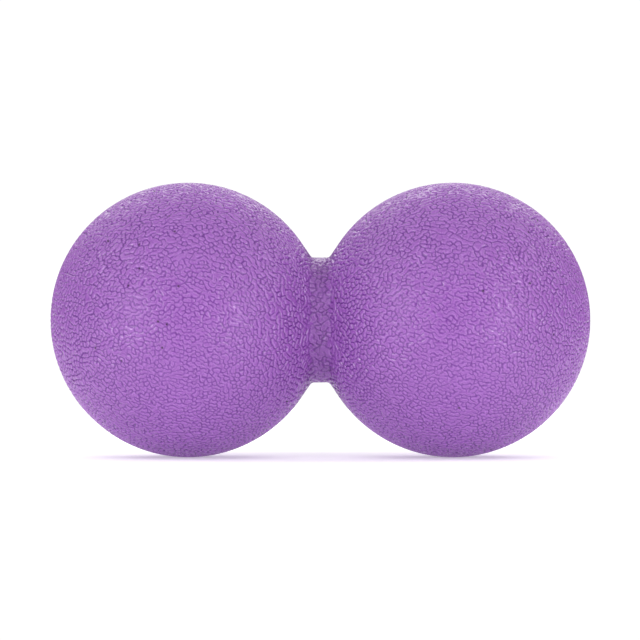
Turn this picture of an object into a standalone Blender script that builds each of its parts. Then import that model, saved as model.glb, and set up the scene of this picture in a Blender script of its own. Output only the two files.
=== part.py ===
"""Peanut massage ball: two grained balls on one neck, moulded in one piece of foamed TPE.

Run it with: blender --background --python part.py

Metres, +Z up. The origin is the middle of the neck, on the axis through both balls. +X runs
along that axis to the right-hand ball. The front faces -Y, square to the mould's parting plane,
which is the XZ plane. Each zone of the moulding is its own solid: the dense skin as the front
and rear halves that the mould's two cavities form, the foam core inside it, and the gate slug.
"""

import math

import bmesh
import bpy
from mathutils import Matrix

# Outside form
BALL_DIAMETER = 0.0640
NECK_DIAMETER = 0.0291
NECK_WIDTH = 0.0041  # between the sharp corners that the fillets take off
BLEND_RISE = 0.0034  # above the neck's surface: where each ball turns into its straight flank
NECK_FILLET = 0.0012

# Inside zones
SKIN_THICKNESS = 0.0025

# Gate, where the mould was filled: a trimmed slug in a dimple at the right-hand end
GATE_DIAMETER = 0.0030
GATE_DIMPLE_DIAMETER = 0.0070
GATE_DIMPLE_DEPTH = 0.0008
GATE_TRIM_DEPTH = 0.0003  # the slug's cut face lies this far inside the ball's end
GATE_EDGE_BEVEL = 0.0002

# Clearance between solids that are fused on the real moulding
FIT_GAP = 0.0003

# Facets
OUTSIDE_STEPS = 64
OUTSIDE_ARC_POINTS = 24
INSIDE_STEPS = 40
INSIDE_ARC_POINTS = 16
FILLET_POINTS = 3
GATE_STEPS = 24

# Worked out from the sizes above
BALL_RADIUS = BALL_DIAMETER / 2
NECK_RADIUS = NECK_DIAMETER / 2
FLANK_ANGLE = math.asin((NECK_RADIUS + BLEND_RISE) / BALL_RADIUS)
BALL_CENTRE_X = NECK_WIDTH / 2 + (
    BALL_RADIUS - NECK_RADIUS * math.sin(FLANK_ANGLE)
) / math.cos(FLANK_ANGLE)
BALL_END_X = BALL_CENTRE_X + BALL_RADIUS
BEYOND = 0.01  # how far a cutter runs past what it cuts

ROLL_AXIS = Matrix.Rotation(math.radians(90), 4, "Y")  # turns +Z to +X


def clear_scene():
    for obj in list(bpy.data.objects):
        bpy.data.objects.remove(obj)


def make_collection(name, helpers=False):
    collection = bpy.data.collections.new(name)
    collection.hide_render = helpers
    bpy.context.scene.collection.children.link(collection)
    return collection


def make_material(name, colour, roughness):
    material = bpy.data.materials.new(name)
    material.use_nodes = True
    shader = material.node_tree.nodes["Principled BSDF"]
    shader.inputs["Base Color"].default_value = (*colour, 1.0)
    shader.inputs["Roughness"].default_value = roughness
    shader.inputs["Metallic"].default_value = 0.0
    material.diffuse_color = (*colour, 1.0)
    return material


def half_profile(inset, arc_points):
    """(x, radius) points from the middle of the neck to the right-hand end, moved in by inset.

    The neck is straight, a fillet turns it into the ball's straight flank, and the flank
    meets the ball's arc where it is tangent to it.
    """
    fillet_radius = NECK_FILLET + inset
    fillet_x = BALL_CENTRE_X - (
        NECK_FILLET + BALL_RADIUS - (NECK_RADIUS + NECK_FILLET) * math.sin(FLANK_ANGLE)
    ) / math.cos(FLANK_ANGLE)
    points = []
    for i in range(FILLET_POINTS + 1):
        turn = (math.pi / 2 - FLANK_ANGLE) * i / FILLET_POINTS
        points.append((
            fillet_x + fillet_radius * math.sin(turn),
            NECK_RADIUS + NECK_FILLET - fillet_radius * math.cos(turn),
        ))
    for i in range(arc_points + 1):
        angle = FLANK_ANGLE + (math.pi - FLANK_ANGLE) * i / arc_points
        points.append((
            BALL_CENTRE_X - (BALL_RADIUS - inset) * math.cos(angle),
            (BALL_RADIUS - inset) * math.sin(angle),
        ))
    points[-1] = (points[-1][0], 0.0)
    return points


def whole_profile(inset, arc_points):
    """(x, radius) points from the right-hand end to the left-hand end."""
    right = half_profile(inset, arc_points)
    return right[::-1] + [(-x, radius) for x, radius in right]


def turned(name, collection, profile, steps):
    """A solid turned about the X axis from a profile that starts and ends on it."""
    mesh = bpy.data.meshes.new(name)
    vertices = [(x, 0.0, radius) for x, radius in profile]
    edges = [(i, i + 1) for i in range(len(profile) - 1)]
    mesh.from_pydata(vertices, edges, [])
    obj = bpy.data.objects.new(name, mesh)
    collection.objects.link(obj)
    screw = obj.modifiers.new("turn", "SCREW")
    screw.axis = "X"
    screw.angle = math.radians(360)
    screw.steps = steps
    screw.render_steps = steps
    screw.use_merge_vertices = True
    screw.merge_threshold = 1e-6
    screw.use_smooth_shade = True
    return obj


def primitive(name, collection, build):
    """An object whose mesh build(bm) makes with bmesh's primitives."""
    mesh = bpy.data.meshes.new(name)
    bm = bmesh.new()
    build(bm)
    bm.to_mesh(mesh)
    bm.free()
    obj = bpy.data.objects.new(name, mesh)
    collection.objects.link(obj)
    return obj


def as_helper(obj):
    obj.hide_render = True
    obj.display_type = "WIRE"
    return obj


def cut(obj, cutter):
    boolean = obj.modifiers.new("cut " + cutter.name, "BOOLEAN")
    boolean.operation = "DIFFERENCE"
    boolean.solver = "EXACT"
    boolean.object = cutter


def gate_hole(cutters):
    """The gate's channel through the skin, a clearance wider than the slug."""

    def build(bm):
        radius = GATE_DIAMETER / 2 + FIT_GAP
        length = SKIN_THICKNESS + BEYOND
        bmesh.ops.create_cone(
            bm, cap_ends=True, segments=GATE_STEPS, radius1=radius, radius2=radius, depth=length,
            matrix=ROLL_AXIS,
        )

    hole = primitive("gate_hole_cutter", cutters, build)
    hole.location.x = BALL_END_X
    return as_helper(hole)


def gate_dimple(cutters):
    """The shallow dish that keeps the gate's cut face below the ball's end."""
    half_width = GATE_DIMPLE_DIAMETER / 2
    ball_drop = BALL_RADIUS - math.sqrt(BALL_RADIUS**2 - half_width**2)
    dish_depth = GATE_DIMPLE_DEPTH - ball_drop
    dish_radius = (half_width**2 + dish_depth**2) / (2 * dish_depth)

    def build(bm):
        bmesh.ops.create_uvsphere(
            bm, u_segments=OUTSIDE_STEPS, v_segments=OUTSIDE_STEPS, radius=dish_radius,
            matrix=ROLL_AXIS,
        )

    dimple = primitive("gate_dimple_cutter", cutters, build)
    dimple.location.x = BALL_END_X - GATE_DIMPLE_DEPTH + dish_radius
    return as_helper(dimple)


def half_space(name, cutters, side):
    """A block that takes away everything on one side of the parting plane, and half the gap."""

    def build(bm):
        bmesh.ops.create_cube(bm, size=1.0)
        size = (2 * (BALL_END_X + BEYOND), BALL_DIAMETER + BEYOND, BALL_DIAMETER + BEYOND)
        bmesh.ops.scale(bm, vec=size, verts=bm.verts)

    block = primitive(name, cutters, build)
    block.location.y = side * ((BALL_DIAMETER + BEYOND) / 2 - FIT_GAP / 2)
    return as_helper(block)


def skin_halves(parts, cutters, material):
    """The dense grained skin, in the two halves that the mould's cavities form."""
    cavity = as_helper(turned(
        "cavity_cutter", cutters, whole_profile(SKIN_THICKNESS, INSIDE_ARC_POINTS), INSIDE_STEPS,
    ))
    hole = gate_hole(cutters)
    dimple = gate_dimple(cutters)
    for name, other_side in (("front_skin", 1), ("rear_skin", -1)):
        skin = turned(name, parts, whole_profile(0.0, OUTSIDE_ARC_POINTS), OUTSIDE_STEPS)
        skin.data.materials.append(material)
        cut(skin, cavity)
        cut(skin, dimple)
        cut(skin, hole)
        cut(skin, half_space(name + "_parting_cutter", cutters, other_side))


def foam_core(parts, material):
    """The foamed filling: the same form as the outside, in by the skin and the clearance."""
    profile = whole_profile(SKIN_THICKNESS + FIT_GAP, INSIDE_ARC_POINTS)
    core = turned("foam_core", parts, profile, INSIDE_STEPS)
    core.data.materials.append(material)


def gate_slug(parts, material):
    """The frozen stub of the filling channel, from the core's end to its trimmed face."""
    inner_end = BALL_END_X - SKIN_THICKNESS
    outer_end = BALL_END_X - GATE_TRIM_DEPTH

    def build(bm):
        bmesh.ops.create_cone(
            bm, cap_ends=True, segments=GATE_STEPS, radius1=GATE_DIAMETER / 2,
            radius2=GATE_DIAMETER / 2, depth=outer_end - inner_end, matrix=ROLL_AXIS,
        )

    slug = primitive("gate_slug", parts, build)
    slug.location.x = (inner_end + outer_end) / 2
    bevel = slug.modifiers.new("trimmed edge", "BEVEL")
    bevel.width = GATE_EDGE_BEVEL
    bevel.segments = 2
    bevel.limit_method = "ANGLE"
    slug.data.shade_smooth()
    slug.data.set_sharp_from_angle(angle=math.radians(40))
    slug.data.materials.append(material)


def main():
    clear_scene()
    parts = make_collection("peanut_massage_ball")
    cutters = make_collection("cutters", helpers=True)
    skin = make_material("grained_tpe_skin", (0.34, 0.13, 0.50), 0.5)
    foam = make_material("tpe_foam", (0.45, 0.22, 0.60), 0.8)
    gate = make_material("trimmed_gate_tpe", (0.36, 0.15, 0.52), 0.6)
    skin_halves(parts, cutters, skin)
    foam_core(parts, foam)
    gate_slug(parts, gate)


main()
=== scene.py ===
"""The massage ball's looks: a grained TPE skin in two halves, its foam core and its gate."""
import math

import bpy
import numpy as np
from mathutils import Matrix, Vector
from mathutils.kdtree import KDTree


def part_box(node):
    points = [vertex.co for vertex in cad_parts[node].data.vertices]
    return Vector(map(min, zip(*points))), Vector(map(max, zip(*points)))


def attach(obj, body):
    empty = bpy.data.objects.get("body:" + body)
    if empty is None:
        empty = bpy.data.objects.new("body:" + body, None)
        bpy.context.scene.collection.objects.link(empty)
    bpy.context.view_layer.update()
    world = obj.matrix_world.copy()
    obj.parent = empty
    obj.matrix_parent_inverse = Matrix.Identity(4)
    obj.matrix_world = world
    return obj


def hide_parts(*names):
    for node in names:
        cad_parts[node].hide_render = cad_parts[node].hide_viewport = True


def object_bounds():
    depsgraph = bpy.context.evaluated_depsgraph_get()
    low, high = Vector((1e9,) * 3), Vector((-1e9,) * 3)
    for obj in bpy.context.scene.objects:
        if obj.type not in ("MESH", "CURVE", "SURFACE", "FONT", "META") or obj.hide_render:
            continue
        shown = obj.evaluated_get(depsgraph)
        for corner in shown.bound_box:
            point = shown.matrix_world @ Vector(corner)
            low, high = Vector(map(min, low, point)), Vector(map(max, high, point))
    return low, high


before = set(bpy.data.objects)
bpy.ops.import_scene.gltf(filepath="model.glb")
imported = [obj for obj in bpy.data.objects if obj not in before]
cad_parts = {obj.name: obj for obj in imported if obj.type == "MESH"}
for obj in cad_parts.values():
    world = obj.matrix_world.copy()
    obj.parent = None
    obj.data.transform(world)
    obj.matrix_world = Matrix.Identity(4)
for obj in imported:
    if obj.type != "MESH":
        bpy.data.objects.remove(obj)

cad_low, cad_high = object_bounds()
MM = 0.001

# Outside form, in metres. The balls' size and place come from the frame.
BALL_RADIUS = (cad_high.z - cad_low.z) / 2
BALL_CENTRE_X = -cad_low.x - BALL_RADIUS
NECK_RADIUS = 14.55 * MM
NECK_FILLET = 1.2 * MM
BLEND_RISE = 3.4 * MM  # above the neck: where each ball turns into its straight flank
FLANK_ANGLE = math.asin((NECK_RADIUS + BLEND_RISE) / BALL_RADIUS)
SKIN_THICKNESS = 2.5 * MM

# Gate, at the right-hand end
GATE_LOW, GATE_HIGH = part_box("gate_slug")
GATE_RADIUS = (GATE_HIGH.z - GATE_LOW.z) / 2
GATE_GAP = 0.06 * MM
CHANNEL_RADIUS = GATE_RADIUS + GATE_GAP
DIMPLE_RADIUS = 3.5 * MM
DIMPLE_DEPTH = 0.8 * MM
GRAIN_FROM = (1.05 * DIMPLE_RADIUS, 1.5 * DIMPLE_RADIUS)  # where the grain begins beside it

# Points along the outline's arcs
BALL_STEPS, FILLET_STEPS, DISH_STEPS = 200, 24, 16

# Skin mesh
FACE_SIZE = 0.205 * MM
FEWEST_COLUMNS = 30
OUTSIDE_COLUMNS = 16 * FEWEST_COLUMNS
INSIDE_COLUMNS = 2 * FEWEST_COLUMNS
ROWS_PER_INSIDE_ROW = 12

# Leather grain, in millimetres
PEBBLE_SIZE = 1.06
RING_STEP = 0.87  # of the pebble size, between rings of pebbles
PEBBLE_JITTER = 0.26  # of the pebble size
SPREADING_STEPS = 8  # which even the pebbles' sizes out
SPREADING_RATE, SPREAD_TO = 0.3, 1.1
OUTER_GAPS = 0.35  # share of the pebbles left out at a half's outer edge, where they are larger
WARPS = ((4.0, 0.18), (1.5, 0.13))  # (wave length, reach) that make straight creases crooked
WAVES_IN_WARP = 8
PEBBLE_SIDE = 0.45  # from a crease to the pebble's top
CREASE_DEPTH = 0.23
LINE_WIDTH = 0.135  # of the dark line of painted shade along a crease
HIGHLIGHT_AT, HIGHLIGHT_WIDTH = 0.27, 0.09  # the painted highlight along a pebble's edge, from the crease
WORM_BIAS = 0.53  # how much rarer creases across a worm are than creases along it
WORM_FALL = ((-0.9, -0.3, 0.0, 0.5), (25.0, 5.0, 0.0, -58.0))  # degrees, across a ball
WORMS_ROUND_NECK = (2.0 * MM, 8.0 * MM)  # from here to here they turn from round the neck to level
FAINT, PLAIN = -0.30, 0.25  # chance below which a crease is missing, and above which it is whole
MIDDLE_SHARE, EDGE_SHARE = 0.25, 0.95  # of a ball's radius, between which the grain deepens
MIDDLE_DROP = 6.0 * MM  # of that shallow part, below the ball's middle
OUTER_RELIEF, OUTER_COLOUR = 0.8, 0.25  # how much more marked it is at the outer edge: the relief, and the painted crease shade and edge highlight
BESIDE_NECK, IN_NECK = (3.0 * MM, 12.0 * MM), (2.0 * MM, 5.0 * MM)
# NECK_PALER weakens the painted crease shade and edge highlight in the neck
NECK_RELIEF, NECK_PALER = 0.2, 0.3
PARTING_FADE = 0.5
PARTING_RIDGE = 0.03
PINHOLES = 70
PINHOLE_RADIUS = 0.37
PINHOLE_FLOOR = 0.45 * PINHOLE_RADIUS  # within which it is at its full depth
PINHOLE_DEPTH = 0.16

# Colours, scene linear
SKIN_COLOUR = (0.264, 0.085, 0.390)
# painted shade: the dark lines in the creases, where the grain's hollows are shaded
CREASE_SHADE_COLOUR = (0.138, 0.028, 0.250)
# painted highlight: the pale band along each pebble's edge beside a crease
EDGE_HIGHLIGHT_COLOUR = (0.378, 0.152, 0.525)
# painted shade: near black inside the pinholes, where they are shaded
PINHOLE_SHADE_COLOUR = (0.040, 0.010, 0.060)
FOAM_COLOUR = (0.45, 0.22, 0.60)
FLOOR_COLOUR = (0.9, 0.9, 0.9)

# Surfaces: scales are waves per millimetre on the skin, and per metre on the CAD solids
TINT_SCALE, POLISH_SCALE, PORE_SCALE = 0.09, 0.7, 5.0
SKIN_ROUGHNESS = (0.21, 0.29)
PORE_DEPTH = 0.012  # mm
FOAM_CELLS = 1400.0
FOAM_DEPTH = 0.4 * MM
CUT_MARKS = (300.0, 300.0, 5000.0)
CUT_DEPTH = 0.12 * MM

# Camera and lights
VIEW_WIDTH = 149.2 * MM
LENS_MM = 200.0
SENSOR_MM = 36.0
DOME_LIGHT = 0.19
DOME_RISE = 0.55
BACKDROP = 1.05
FLOOR_GLOW = 0.36
FLOOR_RADIUS = 0.45
LIGHT_DISTANCE = 0.9
SOFTBOXES = {  # azimuth and elevation in degrees, width and height in metres, watts
    "left_softbox": (-46, 9, 0.18, 0.24, 2.2),
    "right_softbox": (46, 9, 0.18, 0.24, 2.2),
    "front_softbox": (0, 45, 0.8, 0.6, 2.0),
    "left_high_softbox": (-85, 38, 0.3, 0.3, 0.9),
    "right_high_softbox": (85, 38, 0.3, 0.3, 0.9),
    "back_softbox": (180, 40, 1.2, 0.6, 3.8),
}


def smoothstep(low, high, values):
    t = np.clip((values - low) / (high - low), 0.0, 1.0)
    return t * t * (3 - 2 * t)


# Outline: (x, radius) points, the same form as the CAD model's


def arc(centre, radius, start, end, steps):
    """Points on a circle; its angles start at +X."""
    angles = np.linspace(start, end, steps + 1)
    return [(centre[0] + radius * math.cos(a), centre[1] + radius * math.sin(a)) for a in angles]


def neck_side(inset):
    """The fillet at the foot of the right-hand ball's flank, and the middle of the neck."""
    fillet_x = BALL_CENTRE_X - (
        NECK_FILLET + BALL_RADIUS - (NECK_RADIUS + NECK_FILLET) * math.sin(FLANK_ANGLE)
    ) / math.cos(FLANK_ANGLE)
    centre = (fillet_x, NECK_RADIUS + NECK_FILLET)
    return arc(centre, NECK_FILLET + inset, -FLANK_ANGLE, -math.pi / 2, FILLET_STEPS)


def dimple():
    """The gate's channel through the skin and the dish around its mouth."""
    rim_drop = BALL_RADIUS - math.sqrt(BALL_RADIUS**2 - DIMPLE_RADIUS**2)
    dish_depth = DIMPLE_DEPTH - rim_drop
    dish_radius = (DIMPLE_RADIUS**2 + dish_depth**2) / (2 * dish_depth)
    dish_x = BALL_CENTRE_X + BALL_RADIUS - DIMPLE_DEPTH + dish_radius
    inner_end = BALL_CENTRE_X + math.sqrt((BALL_RADIUS - SKIN_THICKNESS) ** 2 - CHANNEL_RADIUS**2)
    dish = arc(
        (dish_x, 0.0), dish_radius, math.pi - math.asin(CHANNEL_RADIUS / dish_radius),
        math.pi - math.asin(DIMPLE_RADIUS / dish_radius), DISH_STEPS,
    )
    return [(inner_end, CHANNEL_RADIUS)] + dish


def outline(inset):
    """From the gate's channel along the top to the left-hand end."""
    ball = BALL_RADIUS - inset
    opening = CHANNEL_RADIUS if inset else DIMPLE_RADIUS
    centre, flank = (BALL_CENTRE_X, 0.0), math.pi - FLANK_ANGLE
    right = arc(centre, ball, math.asin(opening / ball), flank, BALL_STEPS) + neck_side(inset)
    left = arc(centre, ball, 0.0, flank, BALL_STEPS) + neck_side(inset)
    mirrored = [(-x, radius) for x, radius in reversed(left)]
    return np.array(([] if inset else dimple()) + right + mirrored)


def evenly(points, count):
    """The same outline in this many equal steps."""
    along = np.concatenate([[0.0], np.cumsum(np.hypot(*np.diff(points, axis=0).T))])
    wanted = np.linspace(0.0, along[-1], count + 1)
    return np.column_stack([np.interp(wanted, along, points[:, k]) for k in (0, 1)])


# Skin mesh: half rings round the axis, joined by strips of faces


def columns_at(radius, most):
    """Fewer faces round a smaller ring, halved as often as keeps them near the same size."""
    halvings = math.floor(math.log2(BALL_RADIUS / max(radius, 1e-9)))
    return max(most >> max(halvings, 0), FEWEST_COLUMNS)


def half_ring(points, x, radius, columns, side):
    """Adds half a ring, from above the axis to below it, and returns its points' numbers."""
    first = len(points)
    if radius < 1e-9:
        points.append((x, 0.0, 0.0))
        return [first]
    for a in np.linspace(0.0, math.pi, columns + 1):
        points.append((x, side * radius * math.sin(a), radius * math.cos(a)))
    return list(range(first, len(points)))


def strip(one, other):
    """Faces between half rings with the same columns, or more columns on one side, or a pole."""
    if len(one) < len(other):
        return [face[::-1] for face in strip(other, one)]
    if len(other) == 1:
        return [(one[j], one[j + 1], other[0]) for j in range(len(one) - 1)]
    each = (len(one) - 1) // (len(other) - 1)
    return [
        (*one[each * j:each * (j + 1) + 1], other[j + 1], other[j])
        for j in range(len(other) - 1)
    ]


def skin_half(name, side):
    """Half of the skin as a closed shell: grained outside, plain inside, flat where it parts."""
    path = outline(0.0)
    length = np.hypot(*np.diff(path, axis=0).T).sum()
    inside_rows = round(length / FACE_SIZE / ROWS_PER_INSIDE_ROW)
    rows = inside_rows * ROWS_PER_INSIDE_ROW
    points = []
    outside = [
        half_ring(points, x, r, columns_at(r, OUTSIDE_COLUMNS), side)
        for x, r in evenly(path, rows)
    ]
    outside_count = len(points)
    inside = outside[:1] + [
        half_ring(points, x, r, columns_at(r, INSIDE_COLUMNS), side)
        for x, r in evenly(outline(SKIN_THICKNESS), inside_rows)[1:]
    ]
    faces = [face for a, b in zip(outside, outside[1:]) for face in strip(a, b)]
    faces += [face[::-1] for a, b in zip(inside, inside[1:]) for face in strip(a, b)]
    smooth = [True] * len(faces)
    for k in range(inside_rows):
        rows_here = outside[k * ROWS_PER_INSIDE_ROW:(k + 1) * ROWS_PER_INSIDE_ROW + 1]
        for end in (0, -1):
            edge = [ring[end] for ring in rows_here]
            inner = [ring[end] for ring in inside[k:k + 2] if ring[end] not in edge]
            face = edge + inner[::-1]
            faces.append(face[::-1] if end else face)
            smooth.append(False)
    if side < 0:
        faces = [face[::-1] for face in faces]
    mesh = bpy.data.meshes.new(name)
    mesh.from_pydata(points, [], faces)
    mesh.polygons.foreach_set("use_smooth", smooth)
    mesh.update()
    half = bpy.data.objects.new(name, mesh)
    bpy.context.scene.collection.objects.link(half)
    return half, outside_count


def pinhole_places():
    """Points scattered evenly over both balls' outsides."""
    chance = np.random.default_rng(7)
    direction = chance.normal(size=(PINHOLES, 3))
    direction /= np.linalg.norm(direction, axis=1, keepdims=True)
    direction[:, 0] = np.abs(direction[:, 0]) * np.where(direction[:, 0] > -0.7, 1, -1)
    side = chance.choice([-1.0, 1.0], size=PINHOLES)
    places = direction * BALL_RADIUS
    places[:, 0] = side * (places[:, 0] + BALL_CENTRE_X)
    return places


def worm_directions(place):
    """Which way the pebbles run together: level, then down to the right, and round the neck."""
    x, y, z = place.T
    across_ball = (x - np.sign(x) * BALL_CENTRE_X) / BALL_RADIUS
    fall = np.radians(np.interp(across_ball, *WORM_FALL))
    level = np.column_stack([np.cos(fall), np.zeros_like(x), np.sin(fall)])
    radius = np.maximum(np.hypot(y, z), 1e-6)
    around = np.column_stack([np.zeros_like(x), -z / radius, y / radius])
    near_neck = 1.0 - smoothstep(*WORMS_ROUND_NECK, np.abs(x))
    mixed_ways = level + near_neck[:, None] * (around - level)
    return mixed_ways / np.linalg.norm(mixed_ways, axis=1, keepdims=True)


def neighbours(centres, places, count):
    """The numbers of the centres nearest to each place, nearest first."""
    tree = KDTree(len(centres))
    for number, centre in enumerate(centres):
        tree.insert(centre, number)
    tree.balance()
    return np.array([[found[1] for found in tree.find_n(place, count)] for place in places])


def onto_outside(places):
    """The places, in mm, moved onto the balls' spheres, or straight out onto the neck."""
    path = outline(0.0)[::-1] / MM
    ball, centre_x = BALL_RADIUS / MM, BALL_CENTRE_X / MM
    centre = np.column_stack([np.copysign(centre_x, places[:, 0])] + [np.zeros(len(places))] * 2)
    out = places - centre
    on_ball = centre + out * ball / np.linalg.norm(out, axis=1, keepdims=True)
    radius = np.hypot(places[:, 1], places[:, 2])
    stretch = np.interp(places[:, 0], path[:, 0], path[:, 1]) / np.maximum(radius, 1e-6)
    on_neck = places * np.column_stack([np.ones(len(places)), stretch, stretch])
    flank_x = centre_x - ball * math.cos(FLANK_ANGLE)
    return np.where(np.abs(places[:, :1]) > flank_x, on_ball, on_neck)


def outer_share(place):
    """From 0 in the middle of each ball's front or back to 1 where the ball turns away from it."""
    off_middle = np.hypot(np.abs(place[:, 0]) - BALL_CENTRE_X, place[:, 2] + MIDDLE_DROP)
    return smoothstep(MIDDLE_SHARE * BALL_RADIUS, EDGE_SHARE * BALL_RADIUS, off_middle)


def pebble_centres():
    """Points spread evenly but not regularly over the whole outside, in mm."""
    chance = np.random.default_rng(11)
    path = outline(0.0)
    length = np.hypot(*np.diff(path, axis=0).T).sum() / MM
    rings = evenly(path, round(length / (RING_STEP * PEBBLE_SIZE))) / MM
    centres = []
    for x, radius in rings:
        count = max(round(2 * math.pi * radius / PEBBLE_SIZE), 1)
        turns = (np.arange(count) + chance.uniform()) / count * 2 * math.pi
        centres.append(np.column_stack([
            np.full(count, x), radius * np.cos(turns), radius * np.sin(turns),
        ]))
    centres = np.vstack(centres)
    centres = centres[chance.uniform(size=len(centres)) > OUTER_GAPS * outer_share(centres * MM)]
    centres = onto_outside(centres + chance.normal(0.0, PEBBLE_JITTER * PEBBLE_SIZE, centres.shape))
    for _ in range(SPREADING_STEPS):
        near = neighbours(centres, centres, 7)[:, 1:]
        apart = centres[:, None] - centres[near]
        distance = np.maximum(np.linalg.norm(apart, axis=2, keepdims=True), 1e-6)
        wanted = SPREAD_TO * PEBBLE_SIZE / np.sqrt(1.0 - OUTER_GAPS * outer_share(centres * MM))
        push = apart / distance * np.maximum(wanted[:, None, None] - distance, 0.0)
        centres = onto_outside(centres + SPREADING_RATE * push.sum(axis=1))
    return centres


def warped(place):
    """The places, in mm, pushed about so that the creases between pebbles become crooked."""
    chance = np.random.default_rng(5)
    pushed = place.copy()
    for wave, reach in WARPS:
        for _ in range(WAVES_IN_WARP):
            heading = chance.normal(size=3)
            heading *= 2 * math.pi / wave / np.linalg.norm(heading)
            push = chance.normal(size=3) * reach / math.sqrt(WAVES_IN_WARP)
            pushed += np.sin(place @ heading + chance.uniform(0, 2 * math.pi))[:, None] * push
    return pushed


def pair_chance(one, other):
    """A number from 0 to 1 that belongs to this pair of pebbles."""
    low, high = np.minimum(one, other), np.maximum(one, other)
    return np.modf(np.abs(np.sin(low * 12.9898 + high * 78.233)) * 43758.5453)[0]


def leather(place):
    """(relief, dark line of painted shade, pale edge of painted highlight) of the grain at these
    places, in mm, each from 0 to 1.
    """
    crooked = warped(place)
    near = neighbours(CENTRES, crooked, 4)
    worm = worm_directions(place * MM)
    relief, line, edge = (np.zeros(len(place)) for _ in range(3))
    first = CENTRES[near[:, 0]]
    for k in (1, 2, 3):
        other = CENTRES[near[:, k]]
        across = other - first
        across /= np.linalg.norm(across, axis=1, keepdims=True)
        away = np.abs(np.einsum("ij,ij->i", (first + other) / 2 - crooked, across))
        end = np.abs(np.einsum("ij,ij->i", across, worm))
        kept = pair_chance(near[:, 0], near[:, k]) - WORM_BIAS * end
        share = smoothstep(FAINT, PLAIN, kept)
        relief = np.maximum(relief, share * np.clip(1.0 - away / PEBBLE_SIDE, 0.0, 1.0) ** 2)
        # the dark line is painted shade in the crease
        line = np.maximum(line, share * np.exp(-((away / LINE_WIDTH) ** 2)))
        # the pale edge is a painted highlight beside the crease
        edge = np.maximum(edge, share * np.exp(-(((away - HIGHLIGHT_AT) / HIGHLIGHT_WIDTH) ** 2)))
    return relief, line, edge * (1.0 - line)


def strength(place):
    """(relief, colour) strengths of the grain, the colour one scaling the painted crease shade and
    edge highlight: marked most away from the middle of each half.
    """
    outer = outer_share(place)
    near_neck = 1.0 - smoothstep(*BESIDE_NECK, np.abs(place[:, 0]))
    in_neck = 1.0 - smoothstep(*IN_NECK, np.abs(place[:, 0]))
    relief = 1.0 + OUTER_RELIEF * outer + NECK_RELIEF * near_neck
    colour = 1.0 + OUTER_COLOUR * outer - NECK_PALER * in_neck
    return relief, colour


def store(half, name, kind, values):
    attribute = half.data.attributes.new(name, kind, "POINT")
    key = "vector" if kind == "FLOAT_VECTOR" else "value"
    attribute.data.foreach_set(key, np.asarray(values, np.float32).ravel())


def press_grain(half, outside_count):
    """Presses grain, pinholes and parting ridge in, and stores what the material reads."""
    count = len(half.data.vertices)
    place = np.empty(count * 3, np.float32)
    half.data.vertices.foreach_get("co", place)
    outward = np.empty(count * 3, np.float32)
    half.data.vertices.foreach_get("normal", outward)
    place, outward = (flat.reshape(-1, 3).astype(float) for flat in (place, outward))
    outside = np.arange(count) < outside_count
    away_from_gate_end = np.where(place[:, 0] > BALL_CENTRE_X, 0.0, 1.0)
    from_gate = np.hypot(place[:, 1], place[:, 2]) + away_from_gate_end
    grain = outside * smoothstep(*GRAIN_FROM, from_gate)
    parting = smoothstep(0.0, PARTING_FADE * MM, np.abs(place[:, 1]))
    hole = np.zeros(count)
    for centre in pinhole_places():
        away = np.linalg.norm(place - centre, axis=1) / MM
        hole = np.maximum(hole, 1.0 - smoothstep(PINHOLE_FLOOR, PINHOLE_RADIUS, away))
    hole *= grain * parting
    relief, line, edge = (np.zeros(count) for _ in range(3))
    for whole, found in zip((relief, line, edge), leather(place[:outside_count] / MM)):
        whole[:outside_count] = found
    deeper, painted_shading_strength = (grain * parting * share for share in strength(place))
    height = -CREASE_DEPTH * relief * deeper - PINHOLE_DEPTH * hole
    height += PARTING_RIDGE * grain * (1.0 - parting)
    half.data.vertices.foreach_set("co", (place + outward * height[:, None] * MM).ravel())
    half.data.update()
    store(half, "rest", "FLOAT_VECTOR", place / MM)
    # painted shade along the creases
    store(half, "crease", "FLOAT", line * painted_shading_strength)
    # mask of the pinholes, which also carries their painted shade
    store(half, "pinhole", "FLOAT", hole)
    # painted highlight along the pebbles' edges
    store(half, "edge", "FLOAT", edge * painted_shading_strength)


# Node helpers


def node(tree, kind, **settings):
    made = tree.nodes.new(kind)
    for key, value in settings.items():
        setattr(made, key, value)
    return made


def feed(tree, socket, value):
    if isinstance(value, bpy.types.NodeSocket):
        tree.links.new(value, socket)
    else:
        socket.default_value = value


def math_node(tree, operation, *values):
    made = node(tree, "ShaderNodeMath", operation=operation)
    for socket, value in zip(made.inputs, values):
        feed(tree, socket, value)
    return made.outputs[0]


def stretched(tree, place, scale):
    """The place multiplied by a different number along each axis."""
    made = node(tree, "ShaderNodeVectorMath", operation="MULTIPLY")
    feed(tree, made.inputs[0], place)
    feed(tree, made.inputs[1], scale)
    return made.outputs[0]


def map_range(tree, value, low, high, to_low, to_high):
    made = node(tree, "ShaderNodeMapRange", interpolation_type="SMOOTHSTEP")
    for name, given in (
        ("Value", value), ("From Min", low), ("From Max", high),
        ("To Min", to_low), ("To Max", to_high),
    ):
        feed(tree, made.inputs[name], given)
    return made.outputs["Result"]


def noise(tree, place, scale, detail=2.0):
    made = node(tree, "ShaderNodeTexNoise")
    for name, given in (("Vector", place), ("Scale", scale), ("Detail", detail)):
        feed(tree, made.inputs[name], given)
    return made.outputs[0]


# Materials


def new_material(name):
    material = bpy.data.materials.new(name)
    material.use_nodes = True
    return material, material.node_tree, material.node_tree.nodes["Principled BSDF"]


def mixed(tree, share, first, second):
    made = node(tree, "ShaderNodeMix", data_type="RGBA")
    feed(tree, made.inputs["Factor"], share)
    feed(tree, made.inputs[6], (*first, 1.0) if isinstance(first, tuple) else first)
    feed(tree, made.inputs[7], (*second, 1.0) if isinstance(second, tuple) else second)
    return made.outputs[2]


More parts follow.
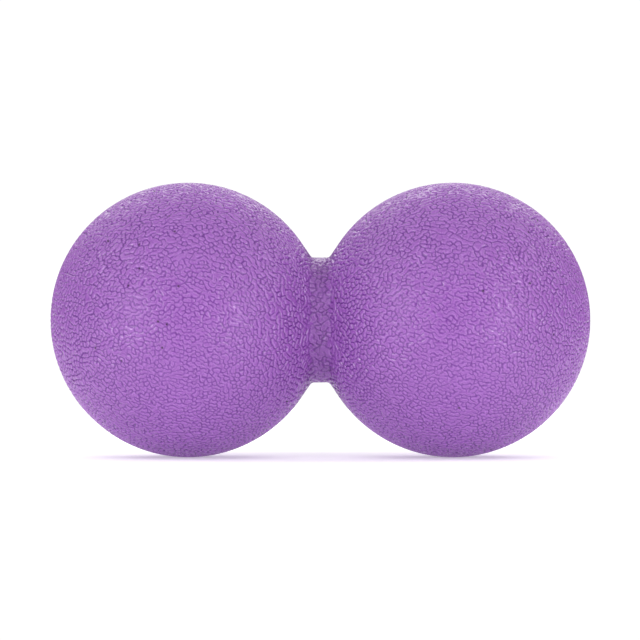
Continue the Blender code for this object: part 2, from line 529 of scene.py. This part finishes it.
def bump(tree, height, distance):
    made = node(tree, "ShaderNodeBump")
    made.inputs["Strength"].default_value = 1.0
    made.inputs["Distance"].default_value = distance
    feed(tree, made.inputs["Height"], height)
    return made.outputs[0]


def stored_in_shader(tree, name, output="Fac"):
    return node(tree, "ShaderNodeAttribute", attribute_name=name).outputs[output]


def shade(colour, share):
    return tuple(share * channel for channel in colour)


def skin_material():
    material, tree, shader = new_material("grained_tpe")
    place = stored_in_shader(tree, "rest", "Vector")
    tint = noise(tree, place, TINT_SCALE)
    top = mixed(
        tree, map_range(tree, tint, 0.35, 0.65, 0.0, 1.0),
        shade(SKIN_COLOUR, 0.98), shade(SKIN_COLOUR, 1.02),
    )
    # painted highlight: the pebbles' edges made paler beside the creases
    edge_highlighted = mixed(tree, stored_in_shader(tree, "edge"), top, EDGE_HIGHLIGHT_COLOUR)
    # painted shade: the creases darkened
    crease_shaded = mixed(tree, stored_in_shader(tree, "crease"), edge_highlighted, CREASE_SHADE_COLOUR)
    # painted shade inside the pinholes
    colour = mixed(tree, stored_in_shader(tree, "pinhole"), crease_shaded, PINHOLE_SHADE_COLOUR)
    tree.links.new(colour, shader.inputs["Base Color"])
    rough = map_range(tree, noise(tree, place, POLISH_SCALE), 0.3, 0.7, *SKIN_ROUGHNESS)
    tree.links.new(rough, shader.inputs["Roughness"])
    height = math_node(tree, "MULTIPLY", noise(tree, place, PORE_SCALE), PORE_DEPTH)
    tree.links.new(bump(tree, height, MM), shader.inputs["Normal"])
    return material


def foam_material():
    material, tree, shader = new_material("tpe_foam")
    place = node(tree, "ShaderNodeTexCoord").outputs["Object"]
    cells = node(tree, "ShaderNodeTexVoronoi")
    cells.inputs["Scale"].default_value = FOAM_CELLS
    feed(tree, cells.inputs["Vector"], place)
    # painted shade: each foam cell darker towards its pit, where the bump sinks
    colour = mixed(
        tree, map_range(tree, cells.outputs["Distance"], 0.1, 0.6, 0.0, 1.0),
        shade(FOAM_COLOUR, 0.6), FOAM_COLOUR,
    )
    tree.links.new(colour, shader.inputs["Base Color"])
    shader.inputs["Roughness"].default_value = 0.85
    tree.links.new(bump(tree, cells.outputs["Distance"], FOAM_DEPTH), shader.inputs["Normal"])
    return material


def gate_material():
    material, tree, shader = new_material("cut_tpe")
    place = node(tree, "ShaderNodeTexCoord").outputs["Object"]
    marks = noise(tree, stretched(tree, place, CUT_MARKS), 1.0, detail=1.0)
    # painted shade in the cut marks' grooves and painted light on their ridges, following the bump
    # below
    colour = mixed(
        tree, map_range(tree, marks, 0.35, 0.65, 0.0, 1.0),
        shade(SKIN_COLOUR, 0.8), shade(SKIN_COLOUR, 1.15),
    )
    tree.links.new(colour, shader.inputs["Base Color"])
    shader.inputs["Roughness"].default_value = 0.5
    tree.links.new(bump(tree, marks, CUT_DEPTH), shader.inputs["Normal"])
    return material


def repaint(name, material):
    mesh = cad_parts[name].data
    mesh.materials.clear()
    mesh.materials.append(material)


# Studio


def area_light(name, azimuth, elevation, width, height, watts):
    """A softbox that faces the origin; azimuth 0 is at the camera and turns to the right."""
    light = bpy.data.lights.new(name, "AREA")
    light.shape = "RECTANGLE"
    light.size, light.size_y = width, height
    light.energy = watts
    softbox = bpy.data.objects.new(name, light)
    turn, rise = math.radians(azimuth), math.radians(elevation)
    softbox.location = LIGHT_DISTANCE * Vector((
        math.cos(rise) * math.sin(turn), -math.cos(rise) * math.cos(turn), math.sin(rise),
    ))
    softbox.rotation_euler = softbox.location.to_track_quat("Z", "Y").to_euler()
    bpy.context.scene.collection.objects.link(softbox)


def dome():
    """Soft light from all round, stronger from above; the camera sees plain white."""
    world = bpy.context.scene.world or bpy.data.worlds.new("studio")
    bpy.context.scene.world = world
    world.use_nodes = True
    tree = world.node_tree
    tree.nodes.clear()
    direction = node(tree, "ShaderNodeSeparateXYZ")
    tree.links.new(node(tree, "ShaderNodeTexCoord").outputs["Generated"], direction.inputs[0])
    up = math_node(tree, "MAXIMUM", direction.outputs[2], 0.0)
    strength = math_node(tree, "ADD", math_node(tree, "MULTIPLY", up, DOME_RISE), DOME_LIGHT)
    room, backdrop = (node(tree, "ShaderNodeBackground") for _ in range(2))
    feed(tree, room.inputs["Strength"], strength)
    backdrop.inputs["Strength"].default_value = BACKDROP
    for background in (room, backdrop):
        background.inputs["Color"].default_value = (1.0, 1.0, 1.0, 1.0)
    choose = node(tree, "ShaderNodeMixShader")
    tree.links.new(node(tree, "ShaderNodeLightPath").outputs["Is Camera Ray"], choose.inputs[0])
    tree.links.new(room.outputs[0], choose.inputs[1])
    tree.links.new(backdrop.outputs[0], choose.inputs[2])
    tree.links.new(choose.outputs[0], node(tree, "ShaderNodeOutputWorld").inputs[0])


def studio():
    bpy.ops.mesh.primitive_circle_add(
        vertices=96, radius=FLOOR_RADIUS, fill_type="NGON", location=(0, 0, cad_low.z)
    )
    floor = bpy.context.object
    floor.name = "floor"
    material, tree, shader = new_material("pale_floor")
    shader.inputs["Base Color"].default_value = (*FLOOR_COLOUR, 1.0)
    shader.inputs["Roughness"].default_value = 0.9
    shader.inputs["Emission Color"].default_value = (1.0, 1.0, 1.0, 1.0)
    shader.inputs["Emission Strength"].default_value = FLOOR_GLOW
    floor.data.materials.append(material)
    dome()
    for name, settings in SOFTBOXES.items():
        area_light(name, *settings)
    bpy.context.scene.view_settings.view_transform = "Standard"


def camera():
    data = bpy.data.cameras.new("camera")
    data.lens = LENS_MM
    data.sensor_width = SENSOR_MM
    data.clip_start = 0.01
    eye = bpy.data.objects.new("camera", data)
    middle = (cad_low + cad_high) / 2
    eye.location = middle - Vector((0, VIEW_WIDTH * LENS_MM / SENSOR_MM, 0))
    eye.rotation_euler = (math.radians(90), 0, 0)
    bpy.context.scene.collection.objects.link(eye)
    bpy.context.scene.camera = eye


CENTRES = pebble_centres()
skin = skin_material()
for name, side in (("front_skin", -1.0), ("rear_skin", 1.0)):
    half, outside_count = skin_half("grained_" + name, side)
    press_grain(half, outside_count)
    half.data.materials.append(skin)
    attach(half, "root")
    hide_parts(name)
repaint("foam_core", foam_material())
repaint("gate_slug", gate_material())
studio()
camera()

bpy.context.view_layer.update()
